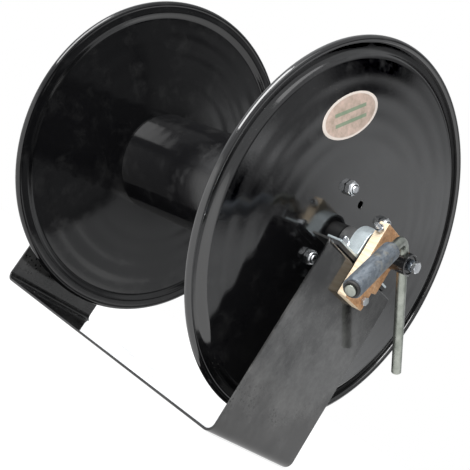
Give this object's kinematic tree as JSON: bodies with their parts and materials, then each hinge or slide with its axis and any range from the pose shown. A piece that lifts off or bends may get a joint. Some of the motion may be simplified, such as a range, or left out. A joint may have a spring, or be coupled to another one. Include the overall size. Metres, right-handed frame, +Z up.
{
  "type": "crank hose reel",
  "caption": "Hand-cranked hose reel: a drum between pressed flanges on a bent flat-steel frame, with a wood brake block and folding crank.",
  "frame": {"origin": "middle of the underside of the frame base, where the reel stands", "axes": "+X along the axle towards the crank, +Z up, -Y towards the side that shows the drum"},
  "size_m": [0.5948, 0.5, 0.53],
  "materials": {
    "black_paint": "high-gloss black enamel, light haze and dust",
    "zinc": "bright zinc plate",
    "crank_zinc": "zinc plate, drawn bar, slightly dulled",
    "galvanised": "hot-dip galvanised, mottled blue-grey",
    "sleeve_steel": "dull grey steel pipe sleeve",
    "nylon": "matt black nylon",
    "rubber": "matt black rubber",
    "wood": "bare pale hardwood, oiled",
    "label": "printed sticker, plain pattern, no text"
  },
  "bodies": {
    "frame": {"frame": "black_paint", "near_bearing_block": "nylon", "far_bearing_block": "nylon", "near_bearing_strap": "zinc", "far_bearing_strap": "zinc", "near_strap_bolt_1": "zinc", "near_strap_bolt_2": "zinc", "near_strap_nut_1": "zinc", "near_strap_nut_2": "zinc", "far_strap_bolt_1": "zinc", "far_strap_bolt_2": "zinc", "far_strap_nut_1": "zinc", "far_strap_nut_2": "zinc", "brake_block": "wood", "brake_block_bolt_1": "zinc", "brake_block_bolt_2": "zinc", "brake_block_nut_1": "zinc", "brake_block_nut_2": "zinc", "cross_screw": "zinc", "cross_screw_nut": "zinc"},
    "reel": {"near_flange": "black_paint", "far_flange": "black_paint", "drum": "black_paint", "axle_pipe": "black_paint", "near_spacer": "sleeve_steel", "far_spacer": "sleeve_steel", "tie_rod_1": "zinc", "tie_rod_2": "zinc", "tie_rod_3": "zinc", "tie_rod_4": "zinc", "tie_nut_near_1": "zinc", "tie_nut_near_2": "zinc", "tie_nut_near_3": "zinc", "tie_nut_near_4": "zinc", "tie_nut_far_1": "zinc", "tie_nut_far_2": "zinc", "tie_nut_far_3": "zinc", "tie_nut_far_4": "zinc", "clamp_plug": "black_paint", "clamp_jam_nut": "zinc", "clamp_bolt": "zinc", "flange_label": "label"},
    "crank_bush": {"crank_bush": "zinc"},
    "crank_rod": {"crank_rod": "crank_zinc", "grip_retainer": "rubber"},
    "grip": {"crank_grip": "galvanised"}
  },
  "joints": [
    {"name": "reel_spin", "type": "hinge", "parent": "frame", "child": "reel", "pos_m": [0, 0, 0.28], "axis": [1, 0, 0], "continuous": true},
    {"name": "crank_swing", "type": "hinge", "parent": "reel", "child": "crank_bush", "pos_m": [0.2838, 0, 0.28], "axis": [0, -0.7524, 0.6587], "range_deg": [-12, 164]},
    {"name": "crank_slide", "type": "slide", "parent": "crank_bush", "child": "crank_rod", "axis": [0, -0.7524, 0.6587], "range_m": [0, 0.12]},
    {"name": "grip_spin", "type": "hinge", "parent": "crank_rod", "child": "grip", "pos_m": [0.2838, -0.0243, 0.30128], "axis": [0.2722, -0.6552, -0.7047], "continuous": true}
  ]
}
